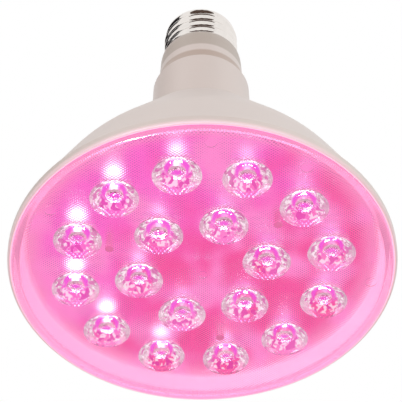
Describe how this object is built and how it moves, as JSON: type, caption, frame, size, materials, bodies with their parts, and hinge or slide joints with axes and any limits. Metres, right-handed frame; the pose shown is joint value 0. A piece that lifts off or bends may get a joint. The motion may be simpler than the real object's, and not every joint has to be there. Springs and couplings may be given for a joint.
{
  "type": "grow light bulb",
  "caption": "Reflector-shaped LED grow light bulb: white moulded bell on a screw base, closed by a clear plate with a collimating lens over each LED.",
  "frame": {"origin": "centre of the front face of the lens plate", "axes": "+Z along the bulb's axis from the front face to the base contact; +X and +Y across the face"},
  "size_m": [0.121, 0.121, 0.1292],
  "materials": {
    "lens": "clear moulded acrylic",
    "housing": "satin white moulded",
    "solder_mask": "white solder mask",
    "led_body": "glossy",
    "led_dome": "clear silicone",
    "pad": "matt",
    "aluminium": "spun satin",
    "sleeve": "matt white",
    "driver_board": "satin",
    "resistor": "satin",
    "varistor": "glossy dipped",
    "film_capacitor": "satin",
    "moulded_black": "matt",
    "capacitor_sleeve": "glossy",
    "ferrite": "matt",
    "copper": "enamelled wire",
    "winding_tape": "glossy",
    "wire_red": "satin",
    "wire_black": "satin",
    "solder": "bright",
    "nickel": "nickel plated",
    "insulator": "glossy",
    "contact": "tinned"
  },
  "bodies": {
    "root": {"lens_plate": "lens", "housing": "housing", "led_board": "solder_mask", "led_bodies": "led_body", "led_domes": "led_dome", "thermal_pad": "pad", "heat_spreader": "aluminium", "heat_cup": "aluminium", "driver_sleeve": "sleeve", "driver_board": "driver_board", "fuse_resistor": "resistor", "varistor": "varistor", "film_capacitor": "film_capacitor", "bridge_rectifier": "moulded_black", "input_capacitor": "capacitor_sleeve", "choke_core": "ferrite", "choke_winding": "copper", "transformer_core": "ferrite", "transformer_bobbin": "moulded_black", "transformer_winding": "winding_tape", "output_capacitor": "capacitor_sleeve", "controller_chip": "moulded_black", "output_diode": "moulded_black", "chip_resistors": "moulded_black", "live_wire": "wire_red", "neutral_wire": "wire_black", "output_wire_red": "wire_red", "output_wire_black": "wire_black", "solder_joints": "solder", "screw_shell": "nickel", "contact_insulator": "insulator", "centre_contact": "contact"}
  },
  "joints": []
}
